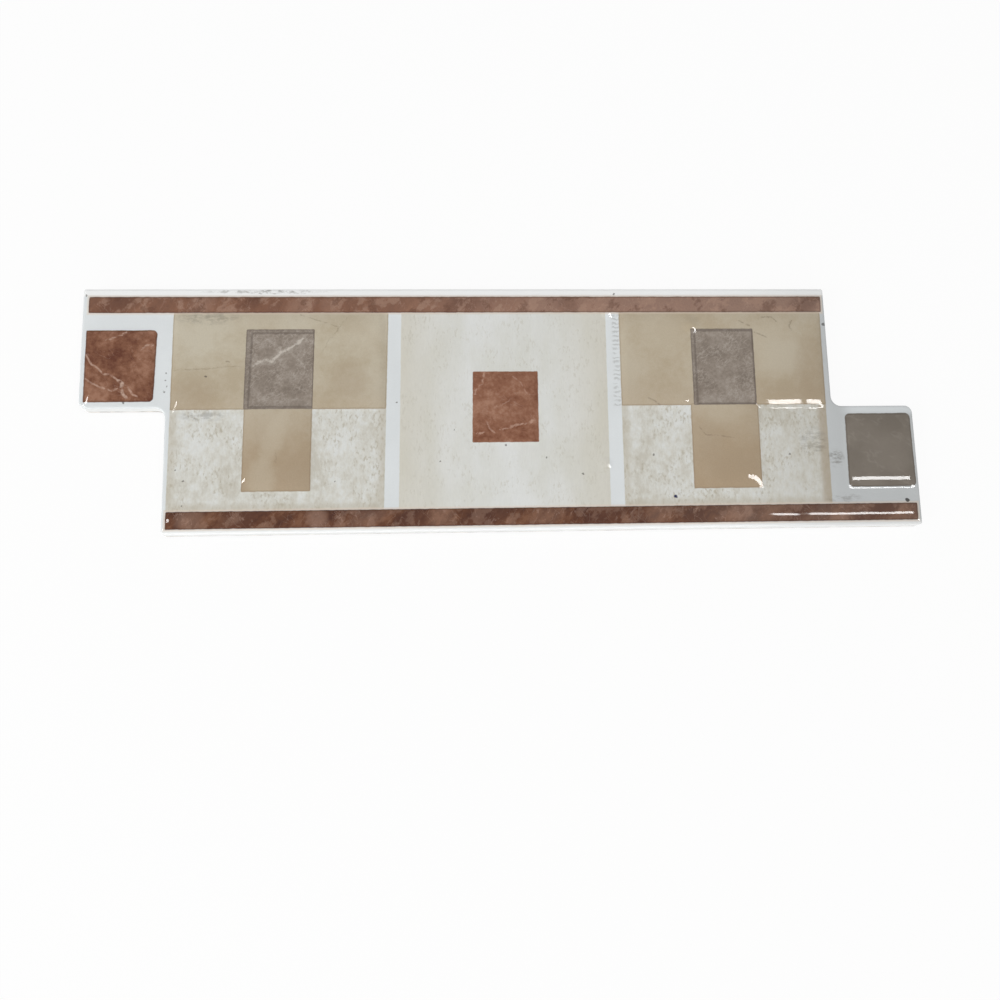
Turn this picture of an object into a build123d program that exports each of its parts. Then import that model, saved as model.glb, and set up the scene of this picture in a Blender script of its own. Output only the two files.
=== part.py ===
"""Border tile: one pressed and glazed ceramic piece that interlocks end to end.

The outline is a long rectangle with half of each end carried on as a tab, so that the tab of one
tile fills the notch of the next. The face is a flat glazed ground that carries low pillowed pads:
a strip along each long side, a patch on each tab and three square fields. Two of the fields carry
a raised frame round a sunk block, with a leg below it, and the middle one carries a single block.
The back has the shallow pockets of a pressed tile.

Frame: X runs along the border, Y across it and Z up out of the face. The origin is at the middle
of the back. Turned half a turn about Z, the outline comes back onto itself.
"""

import os
from math import atan2, tan

from build123d import *

# Outline, in millimetres
STEP_LENGTH = 333.0
TAB_LENGTH = 37.0
BORDER_WIDTH = 110.0
TAB_JOINT = 1.0
TAB_CORNER_RADIUS = 3.5
OUTER_CORNER_RADIUS = 1.2

# Section of the body, up to the flat ground of the face
GROUND_THICKNESS = 7.2
GLAZE_EDGE_RADIUS = 1.0
BACK_EDGE_CHAMFER = 0.6

# Heights on the face: fields above the ground, and pads above the ground or their field
FIELD_RISE = 0.15
STRIP_RISE = 0.35
PATCH_RISE = 0.5
FRAME_RISE = 0.65
CENTRE_BLOCK_RISE = 0.45
SUNK_BLOCK_DEPTH = 0.25

# How far each slope runs in from its foot, and the roundings of the pads
FIELD_SLOPE = 1.2
STRIP_SLOPE = 2.6
PATCH_SLOPE = 4.0
FRAME_SLOPE = 3.6
SUNK_BLOCK_SLOPE = 1.0
PAD_CORNER_RADIUS = 2.5
CROWN_RADIUS = 8.0

# Strips along the long sides
STRIP_WIDTH = 7.6
STRIP_SIDE_MARGIN = 2.9
STRIP_END_MARGIN = 2.2

# Patches on the tabs
PATCH_LENGTH = 30.2
PATCH_WIDTH = 33.0
PATCH_END_MARGIN = 2.2
PATCH_SIDE_MARGIN = 3.2

# The three fields and what stands in them
FIELD_LENGTH = 92.8
FIELD_GAP = 6.2
FIELD_STRIP_GAP = 0.3
SUNK_BLOCK_LENGTH = 30.0
SUNK_BLOCK_TOP_GAP = 8.0
LEG_LENGTH = 31.0
LEG_BOTTOM_GAP = 7.6
CENTRE_BLOCK_LENGTH = 29.4
CENTRE_BLOCK_WIDTH = 32.4

# Pockets pressed into the back
POCKET_DEPTH = 0.8
POCKET_PITCH = 22.0
POCKET_RIB = 3.2
POCKET_MARGIN = 6.0
POCKET_DRAFT = 30.0

# Depth to which a pad is rooted in what carries it, and share of a flat top that roundings may use
ROOT_DEPTH = 0.2
CROWN_SHARE = 0.45

half_length = (STEP_LENGTH + TAB_LENGTH) / 2
half_width = BORDER_WIDTH / 2
notch_x = half_length - TAB_LENGTH
tab_edge = TAB_JOINT / 2
notch_corner_radius = TAB_CORNER_RADIUS + TAB_JOINT

strip_y = half_width - STRIP_SIDE_MARGIN - STRIP_WIDTH / 2
field_half_width = strip_y - STRIP_WIDTH / 2 - FIELD_STRIP_GAP
field_pitch = FIELD_LENGTH + FIELD_GAP
field_top = GROUND_THICKNESS + FIELD_RISE
half_turn = Rot(0, 0, 180)


def outline():
    """The stepped plan: left tab in the upper half, right tab in the lower half."""
    upper = [
        (-notch_x, tab_edge),
        (-half_length, tab_edge),
        (-half_length, half_width),
        (notch_x, half_width),
    ]
    lower = [(-x, -y) for x, y in upper]
    plan = make_face(Polyline(*upper, *lower, close=True))

    def rounded(face, points, radius):
        corners = [face.vertices().sort_by_distance(point)[0] for point in points]
        return fillet(corners, radius)

    plan = rounded(plan, [upper[0], lower[0]], notch_corner_radius)
    plan = rounded(plan, [upper[1], lower[1]], TAB_CORNER_RADIUS)
    return rounded(plan, [upper[2], upper[3], lower[2], lower[3]], OUTER_CORNER_RADIUS)


def body():
    """The pressed body, with the glaze rolled over its upper edge and a small bevel at the back."""
    slab = extrude(outline(), GROUND_THICKNESS)
    slab = fillet(slab.faces().sort_by(Axis.Z)[-1].edges(), GLAZE_EDGE_RADIUS)
    return chamfer(slab.faces().sort_by(Axis.Z)[0].edges(), BACK_EDGE_CHAMFER)


def pillow(length, width, rise, slope):
    """A pad whose foot is at z = 0: even slopes up to a flat top with a rounded crown.

    The slopes run on below the foot, so that the pad is rooted in what carries it.
    """
    root_run = 2 * slope * ROOT_DEPTH / rise
    top_length = length - 2 * slope
    top_width = width - 2 * slope
    top_corner = min(PAD_CORNER_RADIUS, CROWN_SHARE * min(top_length, top_width))
    root = RectangleRounded(length + root_run, width + root_run, PAD_CORNER_RADIUS)
    top = RectangleRounded(top_length, top_width, top_corner)
    pad = loft([Pos(0, 0, -ROOT_DEPTH) * root, Pos(0, 0, rise) * top], ruled=True)
    crown_limit = CROWN_SHARE * min(top_length, top_width) / tan(atan2(rise, slope) / 2)
    return fillet(pad.faces().sort_by(Axis.Z)[-1].edges(), min(CROWN_RADIUS, crown_limit))


def strips():
    """The two long strips, each as long as its own half of the stepped outline."""
    strip_length = STEP_LENGTH - 2 * STRIP_END_MARGIN
    strip = pillow(strip_length, STRIP_WIDTH, STRIP_RISE, STRIP_SLOPE)
    upper = Pos((notch_x - half_length) / 2, strip_y, GROUND_THICKNESS) * strip
    return [upper, half_turn * upper]


def patches():
    """The patch on each tab."""
    patch = pillow(PATCH_LENGTH, PATCH_WIDTH, PATCH_RISE, PATCH_SLOPE)
    x = PATCH_END_MARGIN + PATCH_LENGTH / 2 - half_length
    y = tab_edge + PATCH_SIDE_MARGIN + PATCH_WIDTH / 2
    left = Pos(x, y, GROUND_THICKNESS) * patch
    return [left, half_turn * left]


def fields():
    """Three equal fields between the strips."""
    field = pillow(FIELD_LENGTH, 2 * field_half_width, FIELD_RISE, FIELD_SLOPE)
    return [Pos(step * field_pitch, 0, GROUND_THICKNESS) * field for step in (-1, 0, 1)]


def frame():
    """The raised frame of an end field: its upper half, with a block sunk between two arms."""
    frame_length = FIELD_LENGTH - 2 * FIELD_SLOPE
    frame_width = field_half_width - FIELD_SLOPE
    pad = Pos(0, frame_width / 2, 0) * pillow(frame_length, frame_width, FRAME_RISE, FRAME_SLOPE)
    block_width = field_half_width - SUNK_BLOCK_TOP_GAP
    run = 2 * SUNK_BLOCK_SLOPE
    floor = RectangleRounded(SUNK_BLOCK_LENGTH - run, 2 * block_width - run, SUNK_BLOCK_SLOPE)
    mouth = RectangleRounded(SUNK_BLOCK_LENGTH, 2 * block_width, SUNK_BLOCK_SLOPE)
    floor_z = FRAME_RISE - SUNK_BLOCK_DEPTH
    return pad - loft([Pos(0, 0, floor_z) * floor, Pos(0, 0, FRAME_RISE) * mouth], ruled=True)


def leg():
    """The leg of an end field. It runs in under the frame's edge, so that their tops meet level."""
    leg_width = field_half_width - LEG_BOTTOM_GAP
    pad = pillow(LEG_LENGTH, leg_width + FRAME_SLOPE, FRAME_RISE, FRAME_SLOPE)
    return Pos(0, (FRAME_SLOPE - leg_width) / 2, 0) * pad


def field_blocks():
    """What stands on the three fields."""
    centre = pillow(CENTRE_BLOCK_LENGTH, CENTRE_BLOCK_WIDTH, CENTRE_BLOCK_RISE, FRAME_SLOPE)
    blocks = [Pos(0, 0, field_top) * centre]
    for step in (-1, 1):
        place = Pos(step * field_pitch, 0, field_top)
        blocks += [place * frame(), place * leg()]
    return blocks


def back_pockets():
    """A grid of drafted pockets in each half of the back, inside a plain border."""
    zone_length = STEP_LENGTH - 2 * POCKET_MARGIN
    zone_width = half_width - tab_edge - 2 * POCKET_MARGIN
    columns = round((zone_length + POCKET_RIB) / POCKET_PITCH)
    rows = round((zone_width + POCKET_RIB) / POCKET_PITCH)
    column_pitch = (zone_length + POCKET_RIB) / columns
    row_pitch = (zone_width + POCKET_RIB) / rows
    mouth = Rectangle(column_pitch - POCKET_RIB, row_pitch - POCKET_RIB)
    pocket = extrude(mouth, POCKET_DEPTH, taper=POCKET_DRAFT)
    zone = Pos((notch_x - half_length) / 2, (half_width + tab_edge) / 2, 0)
    places = GridLocations(column_pitch, row_pitch, columns, rows)
    upper = [zone * place * pocket for place in places]
    return upper + [half_turn * pocket for pocket in upper]


def border_tile():
    tile = body() + strips() + patches() + fields() + field_blocks()
    tile = tile - back_pockets()
    tile.label = "border_tile"
    return tile


os.makedirs("parts", exist_ok=True)
export_step(border_tile(), "parts/border_tile.step")
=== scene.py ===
"""Looks of the border tile: its glazed relief, printed stones, fired body, light and camera.

Lengths are millimetres in the part's own frame unless a name says metres. Meshes and lights are
made in metres. Colours are written as they look on a screen, from 0 to 255.
"""

import math
from dataclasses import dataclass, replace

import bpy
import numpy as np
from mathutils import Matrix, Vector
from mathutils.geometry import delaunay_2d_cdt


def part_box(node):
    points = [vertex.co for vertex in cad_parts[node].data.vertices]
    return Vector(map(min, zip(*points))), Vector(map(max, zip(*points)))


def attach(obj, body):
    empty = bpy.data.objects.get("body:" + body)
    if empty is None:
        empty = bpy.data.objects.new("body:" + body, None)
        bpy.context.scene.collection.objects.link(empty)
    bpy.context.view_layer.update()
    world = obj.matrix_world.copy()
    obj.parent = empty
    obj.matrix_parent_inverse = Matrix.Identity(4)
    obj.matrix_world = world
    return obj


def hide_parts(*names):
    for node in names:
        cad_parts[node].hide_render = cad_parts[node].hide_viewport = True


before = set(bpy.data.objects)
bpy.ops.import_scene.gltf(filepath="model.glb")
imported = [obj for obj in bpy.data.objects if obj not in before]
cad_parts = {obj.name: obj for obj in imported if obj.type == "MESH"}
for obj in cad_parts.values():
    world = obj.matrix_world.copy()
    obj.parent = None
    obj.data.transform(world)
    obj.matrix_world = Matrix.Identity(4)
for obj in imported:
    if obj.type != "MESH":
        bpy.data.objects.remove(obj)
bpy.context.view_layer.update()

MM = 0.001
NODE = "border_tile"

# Outline and section, as the part has them
high_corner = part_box(NODE)[1]
HALF_LENGTH = high_corner.x / MM
HALF_WIDTH = high_corner.y / MM
TAB_LENGTH = 37.0
TAB_EDGE = 0.5
TAB_CORNER = 3.5
NOTCH_CORNER = 4.5
OUTER_CORNER = 1.2
GROUND = 7.2
EDGE_ROUND = 1.0
BACK_BEVEL = 0.6
NOTCH_X = HALF_LENGTH - TAB_LENGTH
STEP_LENGTH = 2 * HALF_LENGTH - TAB_LENGTH

# Places of the pads on the face
STRIP_INNER = 44.5
STRIP_OUTER = 52.1
STRIP_END = 1.2
PATCH_FAR = 182.8
PATCH_NEAR = 152.6
PATCH_LOW = 3.7
PATCH_HIGH = 36.4
FIELD_PITCH = 99.0
FIELD_HALF = 46.4
FIELD_SIDE = 44.2
FRAME_LOW = -0.5
LEG_HALF = 15.5
LEG_END = 36.6
LEG_TOP = 15.0
CENTRE_HALF_LENGTH = 14.7
CENTRE_HALF_WIDTH = 16.2
SUNK_HALF = 14.0
SUNK_LOW = 1.0
SUNK_HIGH = 35.0

# Each pad's rise, how far outside its edge the slope starts, how far inside it ends, and the shares
# of the slope that are a hollow foot and a round crown
STRIP = (0.39, 1.55, 3.6, 0.24, 0.46)
PATCH = (0.41, 1.57, 4.75, 0.07, 0.44)
FIELD = (0.13, 0.6, 3.6, 0.25, 0.75)
FRAME = (0.65, 0.85, 7.44, 0.084, 0.825)
CENTRE = (0.40, 0.7, 5.0, 0.12, 0.68)
SUNK = (-0.24, 0.6, 3.4, 0.3, 0.5)

# How many times steeper the ends of patches and frames are than their sides
END_STEEPNESS = 2.0

# Slow waves of the glaze: their height, then each way's pitch, wandering and pitch of the wandering
WAVE_HEIGHT = 0.01
WAVE_ALONG = (0.31, 0.9, 0.13)
WAVE_ACROSS = (0.27, 0.7, 0.11)

# How far the pads and the print lie off the outline's middle, across the border
PATTERN_SHIFT = -0.7

# Pockets of the back
POCKET_DEPTH = 0.8
POCKET_PITCH = 22.0
POCKET_RIB = 3.2
POCKET_MARGIN = 6.0
POCKET_DRAFT = math.radians(30)

# Fineness of the mesh
ARC_STEPS = 8
ROUND_STEPS = 6
RIM_STEP = 4.0
GRID_STEP = 3.0
GRID_CLOSE = 0.16
HOLLOW_LINES = 3
CROWN_LINES = 5
RIM_CLEAR = 0.4
LEAST_BEND = 0.02
MERGE_DISTANCE = 1e-5


# Relief of the face

def level(distance, foot, run, hollow, crown):
    """Share of a pad's rise at a distance inside its edge: a hollow foot, a ramp, a round crown."""
    part = np.clip((distance + foot) / (foot + run), 0, 1)
    ramp_rise = 1 - (hollow + crown) / 2
    rising = part ** 2 / (2 * hollow)
    climbing = part - hollow / 2
    crowning = ramp_rise - (1 - part) ** 2 / (2 * crown)
    slope = np.where(part < 1 - crown, climbing, crowning)
    return np.where(part < hollow, rising, slope) / ramp_rise


def steep(section):
    """The section of a pad's ends where they are steeper than its sides."""
    rise, foot, run, *shares = section
    return (rise, foot / END_STEEPNESS, run / END_STEEPNESS, *shares)


def pad_height(x, y, pad):
    """Height of one pad: its (left, right, bottom, top) and the sections of its ends and sides."""
    (left, right, bottom, top), (rise, *end_slope), (_, *side_slope) = pad
    along = level(np.minimum(x - left, right - x), *end_slope)
    across = level(np.minimum(y - bottom, top - y), *side_slope)
    return rise * along * across


def strip_pads():
    """The two long strips."""
    far, near = HALF_LENGTH - STRIP_END, NOTCH_X - STRIP_END
    return [
        ((-far, near, STRIP_INNER, STRIP_OUTER), STRIP, STRIP),
        ((-near, far, -STRIP_OUTER, -STRIP_INNER), STRIP, STRIP),
    ]


def patch_pads():
    """The patch on each tab."""
    return [
        ((-PATCH_FAR, -PATCH_NEAR, PATCH_LOW, PATCH_HIGH), steep(PATCH), PATCH),
        ((PATCH_NEAR, PATCH_FAR, -PATCH_HIGH, -PATCH_LOW), steep(PATCH), PATCH),
    ]


def field_pads(middle):
    """A field, which runs in under the strips, and its block: a leg and frame, or the centre."""
    under_strips = (STRIP_INNER + STRIP_OUTER) / 2
    left, right = middle - FIELD_HALF, middle + FIELD_HALF
    field = ((left, right, -under_strips, under_strips), FIELD, FIELD)
    if middle == 0:
        length, width = CENTRE_HALF_LENGTH, CENTRE_HALF_WIDTH
        return field, [((-length, length, -width, width), CENTRE, CENTRE)], None
    frame_pad = ((left, right, FRAME_LOW, FIELD_SIDE), steep(FRAME), FRAME)
    leg_pad = ((middle - LEG_HALF, middle + LEG_HALF, -LEG_END, LEG_TOP), FRAME, FRAME)
    sunk_pad = ((middle - SUNK_HALF, middle + SUNK_HALF, SUNK_LOW, SUNK_HIGH), SUNK, SUNK)
    return field, [frame_pad, leg_pad], sunk_pad


FIELD_MIDDLES = (-FIELD_PITCH, 0, FIELD_PITCH)


def all_pads():
    """Every pad, for the places of the mesh's lines."""
    pads = strip_pads() + patch_pads()
    for middle in FIELD_MIDDLES:
        field, blocks, sunk = field_pads(middle)
        pads += [field, *blocks] + ([sunk] if sunk else [])
    return pads


def wave(place, aside, pitch, wander, wander_pitch):
    """A wave along one way that wanders with the place along the other."""
    return np.sin(pitch * place + wander * np.sin(wander_pitch * aside))


def face_height(x, y):
    """Height of the glazed face, with the slow waves that fired glaze has.

    The strips and the fields lie side by side, and the higher of them counts where they meet. So it
    is with a frame and its leg.
    """
    y = y - PATTERN_SHIFT
    strips = sum(pad_height(x, y, pad) for pad in strip_pads())
    panels = np.zeros_like(x)
    for middle in FIELD_MIDDLES:
        field, blocks, sunk = field_pads(middle)
        panels += pad_height(x, y, field)
        panels += np.max([pad_height(x, y, pad) for pad in blocks], axis=0)
        if sunk:
            panels += pad_height(x, y, sunk)
    patches = sum(pad_height(x, y, pad) for pad in patch_pads())
    swell = wave(x, y, *WAVE_ALONG) * wave(y, x, *WAVE_ACROSS)
    return GROUND + np.maximum(strips, panels) + patches - WAVE_HEIGHT * (1 + swell)


# Mesh of the tile

def outline_corners():
    """Corners of the stepped outline, counter-clockwise, each with its radius."""
    upper = [
        (NOTCH_X, HALF_WIDTH, OUTER_CORNER),
        (-HALF_LENGTH, HALF_WIDTH, OUTER_CORNER),
        (-HALF_LENGTH, TAB_EDGE, TAB_CORNER),
        (-NOTCH_X, TAB_EDGE, NOTCH_CORNER),
    ]
    lower = [(-x, -y, radius) for x, y, radius in upper]
    return [(np.array((x, y)), radius) for x, y, radius in upper + lower]


def ring(offset):
    """Points round the outline, moved inwards by an offset. Every ring has as many points."""
    corners = outline_corners()
    count = len(corners)
    places = [corner for corner, radius in corners]
    ways = [places[(i + 1) % count] - places[i] for i in range(count)]
    ways = [way / np.linalg.norm(way) for way in ways]
    arcs, plain_ends = [], []
    for i, (corner, radius) in enumerate(corners):
        come, go = ways[i - 1], ways[i]
        inward = np.array((-come[1], come[0])) + np.array((-go[1], go[0]))
        turns_left = come[0] * go[1] - come[1] * go[0] > 0
        bend = max(radius - offset, LEAST_BEND) if turns_left else radius + offset
        centre = corner + offset * inward - bend * come + bend * go
        angles = np.linspace(0, math.pi / 2, ARC_STEPS + 1)
        arcs.append([centre - bend * go * math.cos(a) + bend * come * math.sin(a) for a in angles])
        plain_ends.append((corner - radius * come, corner + radius * go))
    points = []
    for i in range(count):
        points += arcs[i]
        run = np.linalg.norm(plain_ends[(i + 1) % count][0] - plain_ends[i][1])
        steps = max(1, round(run / RIM_STEP))
        start, end = arcs[i][-1], arcs[(i + 1) % count][0]
        points += [start + (end - start) * k / steps for k in range(1, steps)]
    return np.array(points)


def within(x, y, loop):
    """Which of the points lie inside a closed loop."""
    inside = np.zeros(x.shape, bool)
    for (ax, ay), (bx, by) in zip(loop, np.roll(loop, -1, axis=0)):
        if ay != by:
            crosses = (ay > y) != (by > y)
            inside ^= crosses & (x < ax + (y - ay) * (bx - ax) / (by - ay))
    return inside


def slope_lines(section):
    """Distances inside a pad's edge at which the mesh follows its slope."""
    rise, foot, run, hollow, crown = section
    shares = [*np.linspace(0, hollow, HOLLOW_LINES), *np.linspace(1 - crown, 1, CROWN_LINES)]
    return [share * (foot + run) - foot for share in shares]


def grid_lines(sides, end):
    """Lines across the face: close together on the pads' slopes, and no gap wider than a step."""
    wanted = [0.0]
    for lower, upper, section in sides:
        for distance in slope_lines(section):
            wanted += [lower + distance, upper - distance]
    lines = [0.0]
    for line in sorted(wanted, key=abs):
        if abs(line) < end and min(abs(line - other) for other in lines) > GRID_CLOSE:
            lines.append(line)
    lines = sorted(lines + [-end, end])
    filled = []
    for start, stop in zip(lines, lines[1:]):
        parts = math.ceil((stop - start) / GRID_STEP)
        filled += [start + (stop - start) * k / parts for k in range(parts)]
    return np.array(filled)


class Shell:
    """Points and faces of the tile as they are made, with each face's material and map places."""

    def __init__(self):
        self.points, self.faces, self.slots, self.smooth, self.places = [], [], [], [], []

    def add_points(self, points):
        first = len(self.points)
        self.points += [tuple(point) for point in points]
        return list(range(first, len(self.points)))

    def add_ring(self, loop, height):
        return self.add_points(np.column_stack((loop, np.broadcast_to(height, len(loop)))))

    def add_face(self, face, slot, smooth, places):
        self.faces.append(face)
        self.slots.append(slot)
        self.smooth.append(smooth)
        self.places += places


# Material slots, the corners of a rectangle, and the triangulation that keeps only what is inside
GLAZE, BODY = 0, 1
CORNER_SIGNS = ((-1, -1), (1, -1), (1, 1), (-1, 1))
ONLY_INSIDE = 1

# The bake's map, in millimetres of the face: two halves of the face, then the back and the sides
MAP_SIDE = 224.0
MAP_GAP = 1.5
BACK_SCALE = 0.32
SIDE_SCALE = 0.5
SIDE_ROW = 68.0
MAP_COLUMN = HALF_LENGTH + 2 * MAP_GAP


def map_face(shell, face):
    """The face is cut at its middle, and its halves lie one above the other."""
    corners = [shell.points[i] for i in face]
    right = sum(corner[0] for corner in corners) > 0
    left_edge = 0 if right else -HALF_LENGTH
    base = MAP_GAP + right * (2 * HALF_WIDTH + MAP_GAP)
    return [(x - left_edge + MAP_GAP, y + HALF_WIDTH + base) for x, y, z in corners]


def map_back(shell, face):
    """The back lies on its side beside the face, smaller."""
    corners = [shell.points[i] for i in face]
    return [
        ((y + HALF_WIDTH) * BACK_SCALE + MAP_COLUMN, (HALF_LENGTH - x) * BACK_SCALE + MAP_GAP)
        for x, y, z in corners
    ]


def map_side(start, stop, bottom, top):
    """The sides lie in short rows below one another, beside the face."""
    row = int(start // SIDE_ROW)
    base = 2 * HALF_LENGTH * BACK_SCALE + 3 * MAP_GAP
    base += row * (GROUND * SIDE_SCALE + MAP_GAP)
    left = (start - row * SIDE_ROW) * SIDE_SCALE + MAP_COLUMN
    right = (stop - row * SIDE_ROW) * SIDE_SCALE + MAP_COLUMN
    low, high = base + bottom * SIDE_SCALE, base + top * SIDE_SCALE
    return [(left, low), (right, low), (right, high), (left, high)]


def add_wall(shell, lower, upper, slot, smooth):
    """A band of faces between two rings of as many points."""
    count = len(lower)
    run = 0.0
    for i in range(count):
        j = (i + 1) % count
        face = (lower[i], lower[j], upper[j], upper[i])
        corners = [shell.points[k] for k in face]
        stop = run + math.dist(corners[0][:2], corners[1][:2])
        if slot == GLAZE:
            places = map_face(shell, face)
        else:
            places = map_side(run, stop, corners[0][2], corners[2][2])
        shell.add_face(face, slot, smooth, places)
        run = stop


def loop_edges(count, first=0):
    """Edges round a closed loop of points."""
    return [(first + i, first + (i + 1) % count) for i in range(count)]


def triangles(shell, known, edges):
    """Triangles between known points of the shell, inside the edges."""
    flat = [Vector(shell.points[i][:2]) for i in known]
    result = delaunay_2d_cdt(flat, edges, [], ONLY_INSIDE, MERGE_DISTANCE)
    origin = [known[source[0]] for source in result[3]]
    return [tuple(origin[i] for i in triangle) for triangle in result[2]]


def add_face_side(shell, rim):
    """The glazed face inside the rim, finely divided where its pads rise."""
    pads = all_pads()
    lines_x = grid_lines([(*place[0:2], ends) for place, ends, sides in pads], HALF_LENGTH)
    shifted = [[side + PATTERN_SHIFT for side in place[2:4]] for place, ends, sides in pads]
    lines_y = grid_lines([(*place, pad[2]) for place, pad in zip(shifted, pads)], HALF_WIDTH)
    x, y = (part.ravel() for part in np.meshgrid(lines_x, lines_y))
    keep = within(x, y, ring(EDGE_ROUND + RIM_CLEAR))
    x, y = x[keep], y[keep]
    inner = shell.add_points(np.column_stack((x, y, face_height(x, y))))
    known = rim + inner
    places = [shell.points[i] for i in known]
    middle = [i for i, place in enumerate(places) if abs(place[0]) < GRID_CLOSE / 2]
    middle.sort(key=lambda i: places[i][1])
    seam = list(zip(middle, middle[1:]))
    for face in triangles(shell, known, loop_edges(len(rim)) + seam):
        shell.add_face(face, GLAZE, True, map_face(shell, face))


def pocket_places():
    """Middle, half length and half width of every pocket of the back."""
    zone_length = STEP_LENGTH - 2 * POCKET_MARGIN
    zone_width = HALF_WIDTH - TAB_EDGE - 2 * POCKET_MARGIN
    columns = round((zone_length + POCKET_RIB) / POCKET_PITCH)
    rows = round((zone_width + POCKET_RIB) / POCKET_PITCH)
    pitch_x = (zone_length + POCKET_RIB) / columns
    pitch_y = (zone_width + POCKET_RIB) / rows
    half = ((pitch_x - POCKET_RIB) / 2, (pitch_y - POCKET_RIB) / 2)
    places = []
    for column in range(columns):
        for row in range(rows):
            x = (NOTCH_X - HALF_LENGTH) / 2 + (column - (columns - 1) / 2) * pitch_x
            y = (HALF_WIDTH + TAB_EDGE) / 2 + (row - (rows - 1) / 2) * pitch_y
            places += [(x, y, *half), (-x, -y, *half)]
    return places


def add_back(shell, rim):
    """The flat back, with its drafted pockets sunk into it."""
    inset = POCKET_DEPTH * math.tan(POCKET_DRAFT)
    known = list(rim)
    edges = loop_edges(len(rim))
    places = pocket_places()
    for x, y, half_x, half_y in places:
        reach = (half_x - inset, half_y - inset)
        mouth = [(x + a * half_x, y + b * half_y, 0) for a, b in CORNER_SIGNS]
        floor = [(x + a * reach[0], y + b * reach[1], POCKET_DEPTH) for a, b in CORNER_SIGNS]
        mouth = shell.add_points(mouth)
        floor = shell.add_points(floor)
        edges += loop_edges(len(mouth), len(known))
        known += mouth
        for k, j in loop_edges(len(mouth)):
            wall = (mouth[k], floor[k], floor[j], mouth[j])
            shell.add_face(wall, BODY, False, map_back(shell, wall))
        bottom = tuple(reversed(floor))
        shell.add_face(bottom, BODY, False, map_back(shell, bottom))
    for triangle in triangles(shell, known, edges):
        face = tuple(reversed(triangle))
        x, y, z = np.mean([shell.points[i] for i in face], axis=0)
        if not any(abs(x - px) < hx and abs(y - py) < hy for px, py, hx, hy in places):
            shell.add_face(face, BODY, False, map_back(shell, face))


def make_tile(materials):
    """The whole tile as one closed mesh."""
    shell = Shell()
    side = ring(0)
    back_rim = shell.add_ring(ring(BACK_BEVEL), 0)
    foot = shell.add_ring(side, BACK_BEVEL)
    shoulder = shell.add_ring(side, GROUND - EDGE_ROUND)
    add_wall(shell, back_rim, foot, BODY, False)
    add_wall(shell, foot, shoulder, BODY, False)
    rim = shoulder
    for turn in np.linspace(0, math.pi / 2, ROUND_STEPS + 1)[1:]:
        loop = ring(EDGE_ROUND * (1 - math.cos(turn)))
        drop = EDGE_ROUND * (1 - math.sin(turn))
        height = face_height(loop[:, 0], loop[:, 1]) - drop
        upper = shell.add_ring(loop, height)
        add_wall(shell, rim, upper, GLAZE, True)
        rim = upper
    add_face_side(shell, rim)
    add_back(shell, back_rim)

    mesh = bpy.data.meshes.new("tile")
    mesh.from_pydata([tuple(MM * v for v in point) for point in shell.points], [], shell.faces)
    mesh.polygons.foreach_set("material_index", shell.slots)
    mesh.polygons.foreach_set("use_smooth", shell.smooth)
    bake_map = mesh.uv_layers.new(name="OFBake")
    bake_map.data.foreach_set("uv", np.array(shell.places).ravel() / MAP_SIDE)
    for material in materials:
        mesh.materials.append(material)
    mesh.validate()
    tile = bpy.data.objects.new("tile", mesh)
    bpy.context.scene.collection.objects.link(tile)
    return tile


# Materials

# The turn of clouds that are drawn out upright, and the way from one seed's clouds to the next's
UPRIGHT = math.pi / 2
SEED_STEP = (731.0, -377.0, 113.0)


def light(tone):
    """A tone as a screen shows it, turned into amounts of light by the sRGB formula."""
    shares = [part / 255 for part in tone]
    amounts = [s / 12.92 if s <= 0.04045 else ((s + 0.055) / 1.055) ** 2.4 for s in shares]
    return (*amounts, 1.0)


# Tones of the ground, the stones and the clay, each set from dark to light
WHITE_TONES = ((225, 229, 230), (230, 234, 235))
TRAVERTINE_TONES = ((204, 200, 188), (218, 217, 209), (225, 226, 222))
PALE_TONES = ((221, 221, 214), (229, 230, 227))
BEIGE_TONES = ((187, 174, 150), (195, 184, 162), (201, 192, 172))
GREY_TONES = ((128, 116, 104), (143, 131, 119), (160, 149, 138))
PLAIN_GREY_TONES = ((121, 112, 101), (134, 125, 114))
RED_CENTRE_TONES = ((120, 70, 45), (144, 96, 71), (168, 124, 100))
RED_PATCH_TONES = ((98, 50, 28), (129, 83, 58), (158, 114, 90))
STRIP_TONES = ((76, 37, 17), (97, 55, 30), (122, 80, 55))
CLAY_TONES = ((208, 197, 180), (222, 213, 198))

# Tones laid over them
# Painted shade that greys the right end of the white ground
RIGHT_END_SHADE_TONE = (166, 167, 166)
# Painted sheen that whitens the margins along the long sides
MARGIN_SHEEN_TONE = (251, 252, 251)
FIELD_EDGE_TONE = (186, 176, 155)
RIGHT_BAND_TONE = (172, 154, 130)
TRAVERTINE_FLECK_TONE = (178, 169, 149)
PALE_SIDE_TONE = (208, 202, 184)
PALE_FLECK_TONE = (186, 180, 162)
BEIGE_LOW_TONE = (165, 139, 109)
BEIGE_RIGHT_TONE = (180, 156, 126)
BEIGE_LINE_TONE = (132, 110, 86)
GREY_THREAD_TONE = (188, 178, 168)
GREY_LINE_TONE = (92, 80, 70)
PLAIN_GREY_MIDDLE_TONE = (142, 133, 122)
PLAIN_GREY_THREAD_TONE = (164, 156, 146)
PLAIN_GREY_LINE_TONE = (84, 76, 68)
RED_THREAD_TONE = (184, 148, 128)
RED_PATCH_LINE_TONE = (72, 40, 28)
STRIP_UPPER_TONE = (153, 110, 88)
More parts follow.
